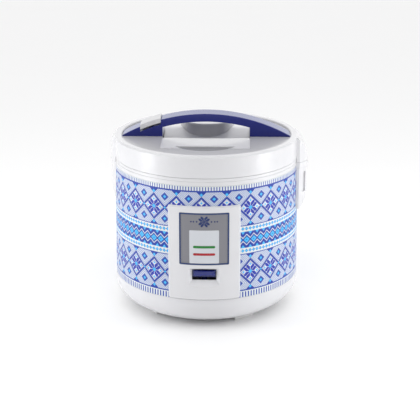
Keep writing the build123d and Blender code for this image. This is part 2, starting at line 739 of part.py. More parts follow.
def lid_shell():
    """White lid ring: side wall, bright rim, deck ledge and the lid halves of the ears."""
    wall = BODY_R - WALL
    low = PART_Z + 0.2
    hinge_ear = lid_ear(ear_plan(145.5, EAR_HALF, 13.5), EAR_JOINT_Z + GAP,
                        (128.2, RIM_Z - 0.4), (139.4, 235), (144.9, EAR_JOINT_Z + GAP + 0.1))
    latch_ear = lid_ear(ear_plan(-136.7, EAR_HALF, 9.7), EAR_JOINT_Z,
                        (-128.2, RIM_Z - 0.4), (-134.4, 245), (-136.7, 226))
    with BuildPart() as shell:
        add(hinge_ear)
        add(latch_ear)
        with BuildSketch(Plane.XY.offset(EAR_JOINT_Z - 1)):
            Circle(BODY_R + GAP)
        extrude(amount=low - EAR_JOINT_Z + 1, mode=Mode.SUBTRACT)
        with BuildSketch(Plane.XY.offset(low)):
            Circle(wall)
        extrude(amount=50, mode=Mode.SUBTRACT)
        with BuildSketch(Plane.XZ):
            Polygon((BODY_R, low), (BODY_R, RIM_Z - 2.2), (BODY_R - 2, RIM_Z),
                    (RIM_R + 1.2, RIM_Z), (RIM_R, RIM_Z - 1.2), (RIM_R, 246.8), (117, 246.8),
                    (117, 244.8), (wall - 5, 244.8), (wall - 5, DECK_Z), (wall, DECK_Z), (wall, low))
        revolve(axis=Axis.Z)
        with BuildSketch(Plane.XY.offset(EAR_JOINT_Z)):
            add(ear_plan(140.2, 22, 8))
            Circle(BODY_R + GAP, mode=Mode.SUBTRACT)
        extrude(amount=13, mode=Mode.SUBTRACT)
        with BuildSketch(Plane.XY.offset(EAR_JOINT_Z - 1)):
            with Locations((-127, 0)):
                Rectangle(15.4, 18)
        extrude(amount=243 - EAR_JOINT_Z, mode=Mode.SUBTRACT)
    keep(shell, "lid_shell")


def strip_profile(lift, reach):
    """Side outline of the centre strip's top: flat front, finger trough, rise to the back."""
    return ((-reach, DECK_Z + lift), (-27, DECK_Z + lift), (-14, 245.6 + lift), (-3, 239.4 + lift),
            (3, 238.8 + lift), (15, 241 + lift), (33, 247 + lift), (45, DECK_Z + lift),
            (reach, DECK_Z + lift))


def centre_strip():
    """Glossy strip across the lid: it dips into a finger trough under the handle."""
    sheet = 2.4
    top = strip_profile(0.5, RIM_R)
    under = strip_profile(0.5 - sheet, RIM_R)
    with BuildPart() as strip:
        with BuildSketch(Plane.YZ):
            with BuildLine():
                for line in (top, under):
                    Line(line[0], line[1])
                    Spline(*line[1:8], tangents=((1, 0), (1, 0)))
                    Line(line[7], line[8])
                Line(top[0], under[0])
                Line(top[-1], under[-1])
            make_face()
        extrude(amount=GRIP_HALF, both=True)
        with BuildSketch(Plane.XY.offset(230)):
            Circle(RIM_R - 0.1)
            with Locations((0, 20)):
                Rectangle(2 * GRIP_HALF, 200, mode=Mode.INTERSECT)
        extrude(amount=30, mode=Mode.INTERSECT)
        with BuildSketch(Plane.XY.offset(230)):
            with Locations((0, CAP_Y)):
                Circle(CAP_R + 0.4)
            add(inset_plan(0.1))
        extrude(amount=30, mode=Mode.SUBTRACT)
    keep(strip, "centre_strip")


def inset_plan(margin):
    """Plan of the lens-shaped inset at the front of the strip."""
    with BuildSketch() as plan:
        with Locations((0, -40.5)):
            Circle(50.5 + margin)
        with Locations((0, -70 + margin - 30)):
            Rectangle(120, 60, mode=Mode.INTERSECT)
    return plan.sketch


def lid_deck():
    """Grey deck beside and in front of the strip, and the inset plate let into it."""
    with BuildPart() as deck:
        with BuildSketch(Plane.XY.offset(246.8)):
            Circle(RIM_R - 0.1)
            with Locations((0, 20)):
                Rectangle(2 * GRIP_HALF + 0.4, 200.2, mode=Mode.SUBTRACT)
            add(inset_plan(0.1), mode=Mode.SUBTRACT)
        extrude(amount=DECK_Z - 246.8)
        with BuildSketch(Plane.XY.offset(246)):
            with Locations((STEM_X, 0)):
                Rectangle(12, 12)
        extrude(amount=6, mode=Mode.SUBTRACT)
    keep(deck, "lid_deck")
    with BuildPart() as inset:
        with BuildSketch(Plane.XY.offset(246.8)):
            add(inset_plan(0))
        extrude(amount=2)
    keep(inset, "lid_inset")


def handle():
    """Navy arch across the lid with the finger gap under it and a notch for the button."""
    with BuildPart() as arch_bar:
        with BuildSketch(Plane.XZ):
            with BuildLine():
                ThreePointArc((-HANDLE_HALF, arch(HANDLE_HALF, HANDLE_ARC, HANDLE_TOP_Z)),
                              (0, HANDLE_TOP_Z),
                              (HANDLE_HALF, arch(HANDLE_HALF, HANDLE_ARC, HANDLE_TOP_Z)))
                Polyline((HANDLE_HALF, arch(HANDLE_HALF, HANDLE_ARC, HANDLE_TOP_Z)),
                         (HANDLE_HALF, HANDLE_FOOT_Z), (GRIP_HALF, HANDLE_FOOT_Z),
                         (GRIP_HALF, arch(GRIP_HALF, GRIP_ARC, GRIP_TOP_Z)))
                ThreePointArc((GRIP_HALF, arch(GRIP_HALF, GRIP_ARC, GRIP_TOP_Z)),
                              (0, GRIP_TOP_Z),
                              (-GRIP_HALF, arch(GRIP_HALF, GRIP_ARC, GRIP_TOP_Z)))
                Polyline((-GRIP_HALF, arch(GRIP_HALF, GRIP_ARC, GRIP_TOP_Z)),
                         (-GRIP_HALF, HANDLE_FOOT_Z), (-HANDLE_HALF, HANDLE_FOOT_Z),
                         (-HANDLE_HALF, arch(HANDLE_HALF, HANDLE_ARC, HANDLE_TOP_Z)))
            make_face()
        extrude(amount=HANDLE_DEPTH / 2, both=True)
        top_edges = arch_bar.faces().sort_by(Axis.Z)[-1].edges().filter_by(GeomType.CIRCLE)
        fillet(top_edges, 1.2)
        with BuildSketch(Plane.XZ):
            with BuildLine():
                ThreePointArc((BUTTON_X[0] - GAP, arch(BUTTON_X[0] - GAP, BUTTON_FLOOR, NOTCH_TOP)),
                              (-78, arch(-78, BUTTON_FLOOR, NOTCH_TOP)),
                              (BUTTON_X[1] + GAP, arch(BUTTON_X[1] + GAP, BUTTON_FLOOR, NOTCH_TOP)))
                Polyline((BUTTON_X[1] + GAP, arch(BUTTON_X[1] + GAP, BUTTON_FLOOR, NOTCH_TOP)),
                         (BUTTON_X[1] + GAP, 290), (BUTTON_X[0] - GAP, 290),
                         (BUTTON_X[0] - GAP, arch(BUTTON_X[0] - GAP, BUTTON_FLOOR, NOTCH_TOP)))
            make_face()
        extrude(amount=20, both=True, mode=Mode.SUBTRACT)
        with BuildSketch(Plane.XY.offset(240)):
            with Locations((STEM_X, 0)):
                Rectangle(12, 12)
        extrude(amount=40, mode=Mode.SUBTRACT)
        with BuildSketch(Plane.XY.offset(HANDLE_FOOT_Z)):
            with Locations((92, 0), (-102, 0)):
                Circle(1.5)
        extrude(amount=5, mode=Mode.SUBTRACT)
    keep(arch_bar, "handle")


def release_button():
    """Grey button block on the handle's left shoulder, with a stem down to the latch."""
    left, right = BUTTON_X
    outer = HANDLE_ARC + 2.4
    inner = BUTTON_FLOOR + 2.8
    low_top = NOTCH_TOP + inner - BUTTON_FLOOR
    high_top = HANDLE_TOP_Z + 2.4
    with BuildPart() as button:
        with BuildSketch(Plane.XZ):
            with BuildLine():
                ThreePointArc((left, arch(left, outer, high_top)), (-78, arch(-78, outer, high_top)),
                              (right, arch(right, outer, high_top)))
                Line((right, arch(right, outer, high_top)), (right, arch(right, inner, low_top)))
                ThreePointArc((right, arch(right, inner, low_top)), (-78, arch(-78, inner, low_top)),
                              (left, arch(left, inner, low_top)))
                Line((left, arch(left, inner, low_top)), (left, arch(left, outer, high_top)))
            make_face()
        extrude(amount=HANDLE_DEPTH / 2, both=True)
        fillet(button.edges().filter_by(Axis.Y).sort_by(Axis.Z)[-2:], 1.2)
        with BuildSketch(Plane.XY.offset(LEVER_ARM_Z + GAP)):
            with Locations((STEM_X, 0)):
                Rectangle(7, 7)
        extrude(amount=267 - LEVER_ARM_Z)
    keep(button, "release_button")


def latch_lever():
    """Bell crank in the lid: the button pushes its arm, its hook holds the lid down."""
    with BuildPart() as crank:
        with BuildSketch(Plane.XZ):
            Polygon((-75, LEVER_ARM_Z), (-118, LEVER_ARM_Z), (-121, LATCH_Z + 3.4), (-127, LATCH_Z + 3.4),
                    (-130.6, LATCH_Z), (-130.6, 212.6), (-127.4, 212.6), (-125.4, 216.2),
                    (-128, 217.6), (-128, LATCH_Z - 3), (-125, LATCH_Z - 3.4), (-119, LATCH_Z - 2.4),
                    (-116, LEVER_ARM_Z - 3), (-75, LEVER_ARM_Z - 3))
        extrude(amount=6, both=True)
        with BuildSketch(Plane.XZ):
            with Locations((LATCH_X, LATCH_Z)):
                Circle(1.55)
        extrude(amount=10, both=True, mode=Mode.SUBTRACT)
    keep(crank, "latch_lever")
    with BuildPart() as pin:
        with BuildSketch(Plane.XZ):
            with Locations((LATCH_X, LATCH_Z)):
                Circle(1.5)
        extrude(amount=9, both=True)
    keep(pin, "latch_pin")


def vent_cap():
    """Round steam vent cap with slots, lifted straight up out of its seat for cleaning."""
    low = 241.6
    with BuildPart() as cap:
        with BuildSketch(Plane.XZ.offset(-CAP_Y)):
            with BuildLine():
                Polyline((10, low), (CAP_R, low), (CAP_R, CAP_TOP_Z - 1.6))
                ThreePointArc((CAP_R, CAP_TOP_Z - 1.6), (CAP_R - 0.5, CAP_TOP_Z - 0.5),
                              (CAP_R - 1.6, CAP_TOP_Z))
                Polyline((CAP_R - 1.6, CAP_TOP_Z), (CAP_R - 5, CAP_TOP_Z), (CAP_R - 6, CAP_TOP_Z - 1.2),
                         (0, CAP_TOP_Z - 1.2), (0, CAP_TOP_Z - 3.4), (CAP_R - 2.4, CAP_TOP_Z - 3.4),
                         (CAP_R - 2.4, low + 2), (12, low + 2), (12, 232), (10, 232), (10, low))
            make_face()
        revolve(axis=Axis((0, CAP_Y, 0), (0, 0, 1)))
        with BuildSketch(Plane.XY.offset(CAP_TOP_Z - 6)):
            with Locations((0, CAP_Y)):
                with PolarLocations(14, 8):
                    SlotOverall(11, 3)
        extrude(amount=8, mode=Mode.SUBTRACT)
    keep(cap, "vent_cap")


def vent_seat():
    """Well in the lid that the vent cap sits in, with its steam tube down to the inner lid."""
    with BuildPart() as seat:
        with BuildSketch(Plane.XZ.offset(-CAP_Y)):
            Polygon((12.4, 226.6), (14, 226.6), (14, 237.2), (CAP_R + 0.3, 237.2), (CAP_R + 0.3, 239.2),
                    (12.4, 239.2))
        revolve(axis=Axis((0, CAP_Y, 0), (0, 0, 1)))
    keep(seat, "vent_seat")


def lid_lining():
    """Inner moulding that closes the lid from below and carries the inner lid."""
    with BuildPart() as lining:
        with BuildSketch(Plane.XZ):
            Polygon((0, 224.8), (127.2, 224.8), (127.2, 226.6), (0, 226.6))
        revolve(axis=Axis.Z)
        with BuildSketch(Plane.XY.offset(222.4)):
            Circle(127.2)
            Circle(118, mode=Mode.SUBTRACT)
        extrude(amount=2.4)
        with BuildSketch(Plane.XY.offset(226.6)):
            with PolarLocations(105, 4, start_angle=45):
                Circle(4)
        extrude(amount=DECK_Z - 2.7 - 226.6)
        with BuildSketch(Plane.XY.offset(220)):
            with Locations((0, CAP_Y)):
                Circle(12.6)
            with Locations((0, 0)):
                Circle(4.2)
            with PolarLocations(105, 4, start_angle=45):
                Circle(1.4)
        extrude(amount=14, mode=Mode.SUBTRACT)
        with BuildSketch(Plane.XY.offset(222)):
            with Locations((-126, 0)):
                Rectangle(16, 18)
        extrude(amount=5, mode=Mode.SUBTRACT)
        for side in (-1, 1):
            with BuildSketch(Plane.XZ.offset(side * 7.9)):
                with Locations((-119, 232.6)):
                    Rectangle(14, 12)
            extrude(amount=side * 1.8)
        with BuildSketch(Plane.XZ):
            with Locations((LATCH_X, LATCH_Z)):
                Circle(1.5)
        extrude(amount=12, both=True, mode=Mode.SUBTRACT)
    keep(lining, "lid_lining")
    with BuildPart() as screws:
        with BuildSketch(Plane.XY.offset(222.8)):
            with PolarLocations(105, 4, start_angle=45):
                Circle(3)
        extrude(amount=2)
        with BuildSketch(Plane.XY.offset(224.8)):
            with PolarLocations(105, 4, start_angle=45):
                Circle(1.35)
        extrude(amount=8)
    keep(screws, "lid_screws")


def inner_lid():
    """Aluminium inner lid with steam holes, its seal and the grommet that holds it."""
    with BuildPart() as plate:
        with BuildSketch(Plane.XZ):
            Polygon((0, 222.0), (98, 222.0), (100, 221.2), (112, 221.2), (112, 222.0), (100.4, 222.0),
                    (98.4, 222.8), (0, 222.8))
        revolve(axis=Axis.Z)
        with BuildSketch(Plane.XY.offset(220)):
            Circle(3.2)
            with Locations((0, CAP_Y)):
                with PolarLocations(7, 6):
                    Circle(1.6)
        extrude(amount=6, mode=Mode.SUBTRACT)
    keep(plate, "inner_lid")
    with BuildPart() as gasket:
        with BuildSketch(Plane.XZ):
            Polygon((108.5, 220.0), (117.4, 220.0), (117.4, 224.8), (112.1, 224.8), (112.1, 221.1),
                    (108.5, 221.1))
        revolve(axis=Axis.Z)
    keep(gasket, "lid_gasket")
    with BuildPart() as grommet:
        with BuildSketch(Plane.XZ):
            Polygon((0, 220.4), (7, 220.4), (7, 222.0), (3.1, 222.0), (3.1, 224.8), (4.1, 224.8),
                    (4.1, 226.6), (6, 226.6), (6, 228.4), (0, 228.4))
        revolve(axis=Axis.Z)
    keep(grommet, "lid_grommet")


def hinge_leaf():
    """Lid half of the hinge: a hollow knuckle with an arm up into the lid's ear."""
    with BuildPart() as leaf:
        with BuildSketch(Plane.XZ):
            with Locations((HINGE_X, HINGE_Z)):
                Circle(KNUCKLE_R - 0.1)
            with Locations((HINGE_X - 3.3, HINGE_Z + 8)):
                Rectangle(3.4, 16)
        extrude(amount=7.7, both=True)
        with BuildSketch(Plane.XZ):
            with Locations((HINGE_X, HINGE_Z)):
                Circle(1.55)
        extrude(amount=9, both=True, mode=Mode.SUBTRACT)
        with BuildSketch(Plane.XZ):
            with Locations((HINGE_X, HINGE_Z)):
                Circle(2.9)
        extrude(amount=4.3, both=True, mode=Mode.SUBTRACT)
        with BuildSketch(Plane.YZ.offset(130.8)):
            with Locations((0, HINGE_Z + 15.2)):
                Rectangle(15.4, 1.6)
        extrude(amount=6)
    keep(leaf, "hinge_leaf")


for build in (
    base_shell, bottom_cover, cover_screws, feet, body_wrap, upper_ring, inner_liner,
    heating_plate, heating_element, plate_legs, thermal_fuse, thermostat_can, sensor_cap,
    magnet_plunger, springs, cook_lever, lever_bracket, cook_key, switch_bracket,
    control_panel, label_pieces, indicator_lamps, power_inlet, inner_pot, hinge_block,
    collector_rail, dew_collector, latch_housing, lid_shell, centre_strip, lid_deck, handle,
    release_button, latch_lever, vent_cap, vent_seat, lid_lining, inner_lid, hinge_leaf,
):
    build()
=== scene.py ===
import json
from math import cos, pi, radians, sin

import bmesh
import bpy
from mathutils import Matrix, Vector


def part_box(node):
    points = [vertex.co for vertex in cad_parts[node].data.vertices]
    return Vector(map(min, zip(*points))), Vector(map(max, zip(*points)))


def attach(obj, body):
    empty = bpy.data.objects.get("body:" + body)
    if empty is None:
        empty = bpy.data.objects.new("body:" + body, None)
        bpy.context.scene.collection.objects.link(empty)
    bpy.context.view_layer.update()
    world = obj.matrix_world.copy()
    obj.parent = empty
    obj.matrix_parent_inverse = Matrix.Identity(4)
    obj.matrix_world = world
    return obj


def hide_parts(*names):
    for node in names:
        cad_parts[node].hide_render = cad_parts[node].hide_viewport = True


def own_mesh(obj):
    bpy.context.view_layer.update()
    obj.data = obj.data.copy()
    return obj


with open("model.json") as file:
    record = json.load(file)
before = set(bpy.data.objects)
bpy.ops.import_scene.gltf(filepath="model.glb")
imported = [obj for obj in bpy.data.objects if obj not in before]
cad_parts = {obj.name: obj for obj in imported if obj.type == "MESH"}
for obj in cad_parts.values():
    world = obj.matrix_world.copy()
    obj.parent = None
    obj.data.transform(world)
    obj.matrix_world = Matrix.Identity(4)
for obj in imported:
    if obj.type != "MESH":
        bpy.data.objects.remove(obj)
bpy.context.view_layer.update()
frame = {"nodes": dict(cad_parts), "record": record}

bl_info = {
    "name": "Rice Cooker Builder",
    "version": (1, 0, 0),
    "blender": (4, 5, 0),
    "location": "View3D > Sidebar > Cooker",
    "description": "Finishes and detailed pieces of a jar rice cooker, around its packed frame",
    "category": "Object",
}

MM = 0.001


# ---- Shader expressions -------------------------------------------------------------
class Sig:
    """A number in a shader tree; Python operators on it add Math nodes."""

    def __init__(self, tree, socket):
        self.tree = tree
        self.socket = socket

    def _math(self, operation, *others, **settings):
        values = {i: v for i, v in enumerate((self,) + others)}
        return self.tree.node("ShaderNodeMath", {"operation": operation, **settings}, values)

    def __add__(self, other):
        return self._math("ADD", other)

    __radd__ = __add__

    def __mul__(self, other):
        return self._math("MULTIPLY", other)

    __rmul__ = __mul__

    def __sub__(self, other):
        return self._math("SUBTRACT", other)

    def __rsub__(self, other):
        return self * -1 + other

    def __truediv__(self, other):
        return self._math("DIVIDE", other)

    def __neg__(self):
        return self * -1

    def __pow__(self, other):
        return self._math("POWER", other)

    def __mod__(self, other):
        return self._math("FLOORED_MODULO", other)

    def __abs__(self):
        return self._math("ABSOLUTE")

    def __lt__(self, other):
        return self._math("LESS_THAN", other)

    def __gt__(self, other):
        return self._math("GREATER_THAN", other)

    def __and__(self, other):
        return self * other

    def __or__(self, other):
        return self._math("MAXIMUM", other)

    def round(self):
        return self._math("ROUND")

    def least(self, other):
        return self._math("MINIMUM", other)

    def most(self, other):
        return self._math("MAXIMUM", other)

    def between(self, low, high):
        return (self > low) & (self < high)

    def ramp(self, low, high):
        """0 below low, 1 above high, smooth between them."""
        values = {"Value": self, "From Min": low, "From Max": high}
        return self.tree.node("ShaderNodeMapRange", {"interpolation_type": "SMOOTHSTEP"}, values)


class Nodes:
    """A shader node tree that values and sockets are plugged into."""

    def __init__(self, tree):
        self.tree = tree

    def plug(self, socket, value):
        if isinstance(value, Sig):
            value = value.socket
        if isinstance(value, bpy.types.NodeSocket):
            self.tree.links.new(value, socket)
        else:
            socket.default_value = value

    def node(self, kind, settings=None, values=None, out=0):
        """Adds a node: its settings first, then the values or links of its sockets."""
        made = self.tree.nodes.new(kind)
        for key, value in (settings or {}).items():
            setattr(made, key, value)
        for key, value in (values or {}).items():
            self.plug(made.inputs[key], value)
        return Sig(self, made.outputs[out])

    def place(self, out="Object"):
        """The surface point in metres, in the cooker's own frame."""
        return self.node("ShaderNodeTexCoord", out=out)

    def xyz(self, out="Object"):
        split = self.node("ShaderNodeSeparateXYZ", {}, {0: self.place(out)}).socket.node
        return [Sig(self, split.outputs[i]) for i in range(3)]

    def noise(self, scale, detail=2.0, rough=0.5, at=None):
        at = at or self.place()
        values = {"Vector": at, "Scale": scale, "Detail": detail, "Roughness": rough}
        return self.node("ShaderNodeTexNoise", {}, values)

    def streaks(self, x, y, z):
        """Noise stretched by how strongly each axis is scaled."""
        at = self.node("ShaderNodeCombineXYZ", {}, {0: x, 1: y, 2: z})
        return self.noise(1.0, 2, 0.5, at)

    def mix(self, mask, low, high):
        """Colour low where the mask is 0, high where it is 1."""
        values = {0: mask, 6: low, 7: high}
        return self.node("ShaderNodeMix", {"data_type": "RGBA"}, values, out=2)

    def bump(self, height, strength=0.3, distance=0.0002):
        values = {"Height": height, "Strength": strength, "Distance": distance}
        return self.node("ShaderNodeBump", {}, values)


class Finish(Nodes):
    """A procedural material on a Principled shader."""

    def __init__(self, name):
        self.material = bpy.data.materials.new(name)
        self.material.use_nodes = True
        super().__init__(self.material.node_tree)
        self.shader = self.tree.nodes["Principled BSDF"]

    def set(self, **sockets):
        """Sets Principled sockets by name, with underscores for spaces."""
        for key, value in sockets.items():
            self.plug(self.shader.inputs[key.replace("_", " ")], value)
        return self.material


def rgb(red, green, blue):
    """A linear colour from its 0 to 255 display values."""
    def linear(value):
        value = value / 255
        return value / 12.92 if value <= 0.04045 else ((value + 0.055) / 1.055) ** 2.4
    return (linear(red), linear(green), linear(blue), 1.0)


# ---- Materials ----------------------------------------------------------------------
def shaded(colour, share):
    """The same colour, darker."""
    return [c * share for c in colour[:3]] + [1.0]


# Turning marks on metal, in noise cells per metre.
TURNING_FINE = 2600
TURNING_COARSE = 1800


def moulded(name, colour, roughness=0.25, coat=0.3, grain=0.02, tint=(1, 1, 1, 1)):
    """Injection-moulded plastic: fine grain, faint flow marks and handling smudges."""
    finish = Finish(name)
    fine = finish.noise(900, 3)
    flow = finish.noise(14, 4, 0.6)
    smudge = finish.noise(38, 5, 0.65).ramp(0.45, 0.75)
    flecks = flow.ramp(0.3, 0.75) * 0.5 + fine * 0.12
    return finish.set(
        Base_Color=finish.mix(flecks, colour, shaded(colour, 0.93)),
        Roughness=roughness + flow * 0.04 + smudge * 0.02,
        Coat_Weight=coat,
        Coat_Roughness=0.08,
        Coat_Tint=tint,
        Specular_Tint=tint,
        Normal=finish.bump(fine, grain, 0.0001),
    )


def metal(name, colour, roughness, brushed=0.0, grain=0.05):
    """Bare metal with turning or rolling marks."""
    finish = Finish(name)
    x, y, z = finish.xyz()
    radius = (x * x + y * y) ** 0.5
    ring = finish.streaks(radius * TURNING_FINE, z * TURNING_FINE, 0.0)
    cloud = finish.noise(45, 4, 0.6)
    worn = cloud * 0.6 + ring * brushed * 0.4
    return finish.set(
        Base_Color=finish.mix(worn, colour, shaded(colour, 0.72)),
        Metallic=1.0,
        Roughness=roughness + ring * 0.12 * brushed + cloud * 0.08,
        Normal=finish.bump(ring, grain + brushed * 0.1, 0.00005),
    )


# Level marks in the pot, in metres: lowest and highest, the step between them, the wall's
# inside, the middle of the ladder and the half widths of its rungs and rails.
MARKS_LOW, MARKS_HIGH, MARKS_STEP = 0.105, 0.205, 0.0125
POT_INSIDE = 0.1092
LADDER_Y = -0.01
RUNG_HALF, RAIL_AT, RAIL_HALF = 0.008, 0.009, 0.0006


def pot_skin(name, colour):
    """Satin aluminium of the inner pot with water level marks inside its wall."""
    finish = Finish(name)
    x, y, z = finish.xyz()
    radius = (x * x + y * y) ** 0.5
    turning = finish.streaks(radius * TURNING_COARSE, z * TURNING_COARSE, 0.0)
    cloud = finish.noise(40, 4, 0.6)
    inside = (radius < POT_INSIDE) & z.between(MARKS_LOW, MARKS_HIGH) & (x < 0.0)
    rung = ((z - MARKS_LOW) / MARKS_STEP) % 1.0
    around = abs(y - LADDER_Y)
    marks = inside & (((rung < 0.09) & (around < RUNG_HALF)) | (abs(around - RAIL_AT) < RAIL_HALF))
    tone = finish.mix(cloud * 0.5 + turning * 0.3, colour, shaded(colour, 0.78))
    return finish.set(
        Base_Color=finish.mix(marks, tone, rgb(52, 54, 58)),
        Metallic=1 - marks * 0.8,
        Roughness=0.27 + turning * 0.12 + cloud * 0.06,
        Normal=finish.bump(turning, 0.12, 0.00005),
    )


class Motif:
    """Stepped distances from a motif's centre, in stitches, folded into one quarter."""

    def __init__(self, across, up, step=0.5):
        self.i = abs((across / step).round()) * step
        self.j = abs((up / step).round()) * step

    def diamond(self, i=0, j=0):
        """Diamond-shaped distance from a point of the quarter."""
        return abs(self.i - i) + abs(self.j - j)

    def flower(self):
        """Eight petals in pairs along the diagonals."""
        wide, slim = self.i.most(self.j), self.i.least(self.j)
        return slim.between(0.4, 4.2) & (wide - slim).between(0.3, 4.2) & (wide < 6.7)


# The sleeve's print. Heights are millimetres over the floor, turns are degrees from the front.
REPEAT = 15.0
STITCHES = 24
STITCH = 34.03 / STITCHES
FLOWER_TURN = -1.6
FLOWER_ROWS = ((178.3, 1.42), (86.5, 1.46))  # middle, height of a stitch
ROW_HALF = 17.7  # in stitches
BEAD_ROWS = (148.9, 117.4)
BEAD_TURN, BEAD_PITCH, BEAD_PHASE = 2.4, 5.445, 0.59  # degrees, millimetres, degrees
ZIGZAG_ROW = 133.1
ZIGZAG_HALF = 11.6
WAVE_TURN, WAVE_PITCH, WAVE_PHASE = 4.8, 10.89, -0.49
EDGE_LINES = ((203.3, 205.4), (152.6, 153.8), (112.1, 113.3), (59.2, 61.0))  # low, high
FRINGES = ((9, 205.2, 210.7, 0.17), (8, 50.0, 57.9, 0.22))  # ticks a repeat, low, high, half
PRINT = {"white": rgb(220, 226, 226), "hatch": rgb(40, 88, 186), "blue": rgb(4, 50, 160),
         "navy": rgb(6, 36, 166), "sky": rgb(60, 182, 240)}


def printed_sleeve():
    """The blue and white stitched print around the body, worked out stitch by stitch."""
    finish = Finish("printed_wrap")
    x, y, z = finish.xyz()
    turn = finish.node("ShaderNodeMath", {"operation": "ARCTAN2"}, {0: x, 1: -y}) * (180 / pi)
    up = z * 1000.0
    across = (((turn - FLOWER_TURN) / REPEAT + 0.5) % 1.0 - 0.5) * STITCHES
    fine = abs((across.round() + (up / STITCH).round()) % 2.0) < 0.5
    blue = up < 0.0
    navy = sky = hatch = blue
    for centre, tall in FLOWER_ROWS:
        rise = (up - centre) / tall
        row = abs(rise) < ROW_HALF
        motif = Motif(across, rise)
        ring, medium = motif.diamond(), motif.diamond(12, 11)
        lattice = Motif(across, rise, 1.0).diamond()
        wedge = motif.i < motif.j - 12.5
        blue |= row & (lattice.between(10.5, 13.5) | (medium < 3.8) | wedge)
        blue |= row & ring.between(8.8, 9.7) & fine
        navy |= row & motif.flower()
        beads = (motif.diamond(7, 0) < 1.2) | (motif.diamond(0, 7) < 1.2)
        centres = (ring < 2.5) | (motif.diamond(12, 0) < 1.5)
        sky |= row & (beads | centres | (medium < 1.7) | (motif.diamond(0, 15) < 1.7))
        hatch |= row & (lattice > 13.5) & (medium % 2.0 < 0.9)
    for low, high in EDGE_LINES:
        blue |= up.between(low, high)
    for count, low, high, half in FRINGES:
        tick = abs((turn / REPEAT * count) % 1.0 - 0.5) < half
        blue |= up.between(low, high) & tick
    for centre in BEAD_ROWS:
        along = abs((turn - BEAD_PHASE) / BEAD_TURN % 1.0 - 0.5) * BEAD_PITCH
        bead = along + abs(up - centre)
        sky |= bead < 2.1
        blue |= bead.between(2.1, 2.6)
    wave = abs((turn - WAVE_PHASE) / WAVE_TURN % 1.0 - 0.5) * WAVE_PITCH
    lift = abs(up - ZIGZAG_ROW)
    band = lift < ZIGZAG_HALF
    step = wave + lift
    edge = abs(wave - WAVE_PITCH / 2) * 1.4 + abs(lift - ZIGZAG_HALF)
    blue |= band & (1 - step.between(6.9, 8.3))
    sky |= band & (step.between(1.0, 4.5) | edge.between(0.7, 4.3))
    thread_x = abs(across % 1.0 - 0.5)
    thread_z = abs(up / STITCH % 1.0 - 0.5)
    seam = (thread_x < 0.1) | (thread_z < 0.1)
    colour = finish.mix(hatch * 0.72, PRINT["white"], PRINT["hatch"])
    colour = finish.mix(blue, colour, PRINT["blue"])
    colour = finish.mix(navy, colour, PRINT["navy"])
    colour = finish.mix(sky, colour, PRINT["sky"])
    colour = finish.mix(seam * 0.08, colour, PRINT["white"])
    cloud = finish.noise(30, 4)
    return finish.set(
        Base_Color=finish.mix(cloud * 0.06, colour, PRINT["hatch"]),
        Roughness=0.32 + cloud * 0.08,
        Specular_IOR_Level=0.3,
        Coat_Weight=0.04,
        Coat_Roughness=0.12,
        Normal=finish.bump(seam, 0.05, 0.0001),
    )


LABEL_STITCH = 0.0011
LABEL_FLOWER_Z = 0.1632


def label_field(name, colour, ink):
    """Brushed label with a small stitched flower printed in its upper part."""
    finish = Finish(name)
    x, _, z = finish.xyz()
    motif = Motif(x / LABEL_STITCH, (z - LABEL_FLOWER_Z) / LABEL_STITCH)
    brushing = finish.streaks(x * 60, 0.0, z * 5200)
    print_here = motif.flower() | (motif.diamond() < 1.5)
    for side in (9, 13, 16):
        print_here |= motif.diamond(side, 0) < 1.2
    colour = finish.mix(brushing * 0.35, colour, shaded(colour, 0.8))
    return finish.set(
        Base_Color=finish.mix(print_here, colour, ink),
        Metallic=0.35,
        Roughness=0.36 + brushing * 0.1,
        Normal=finish.bump(brushing, 0.05, 0.0001),
    )


def all_materials(settings):
    """Every finish by its slot name."""
    white = (*settings.white, 1)
    return {
        "white_gloss": moulded("white_gloss", white, 0.22, 0.4),
        "deck_grey": moulded("deck_grey", rgb(182, 182, 186), 0.3, 0.2, 0.05),
        # The front finger recess is a grey moulding. Its colour is darkened further as painted
        # shade of the recess.
        "inset_grey": moulded("inset_grey", rgb(126, 126, 131), 0.3, 0.2, 0.05),
        "navy_gloss": moulded("navy_gloss", rgb(16, 26, 112), 0.14, 0.5, 0.02, (0.78, 0.84, 1, 1)),
        "button_grey": moulded("button_grey", rgb(212, 212, 214), 0.45, 0.05, 0.08),
        "label_navy": moulded("label_navy", rgb(27, 53, 104), 0.3),
        "label_grey": label_field("label_grey", rgb(134, 134, 140), rgb(38, 54, 104)),
        "label_light": moulded("label_light", rgb(208, 211, 217), 0.35, 0.2),
        "lens_green": moulded("lens_green", rgb(6, 122, 38), 0.3, 0.15),
        "lens_red": moulded("lens_red", rgb(168, 12, 28), 0.3, 0.15),
        "foot_rubber": moulded("foot_rubber", rgb(214, 214, 214), 0.6, 0.0, 0.2),
        "silicone": moulded("silicone", rgb(225, 228, 230), 0.45, 0.1),
        "board_green": moulded("board_green", rgb(30, 90, 50), 0.4),
        "lamp_glass": moulded("lamp_glass", rgb(230, 150, 90), 0.1, 0.5),
        "black_plastic": moulded("black_plastic", rgb(22, 22, 24), 0.4, 0.1, 0.1),
        "liner_aluminium": metal("liner_aluminium", rgb(205, 206, 208), 0.32, 0.5),
        "pot_aluminium": pot_skin("pot_aluminium", rgb(196, 198, 201)),
        "cast_aluminium": metal("cast_aluminium", rgb(178, 180, 182), 0.42, 1.0),
        "plated_steel": metal("plated_steel", rgb(178, 180, 184), 0.35),
        "spring_steel": metal("spring_steel", rgb(140, 142, 146), 0.3),
        "element_sheath": metal("element_sheath", rgb(98, 92, 88), 0.45),
        "magnet": metal("magnet", rgb(50, 50, 54), 0.6),
        "brass": metal("brass", rgb(205, 165, 90), 0.28),
        "printed_wrap": printed_sleeve(),
    }


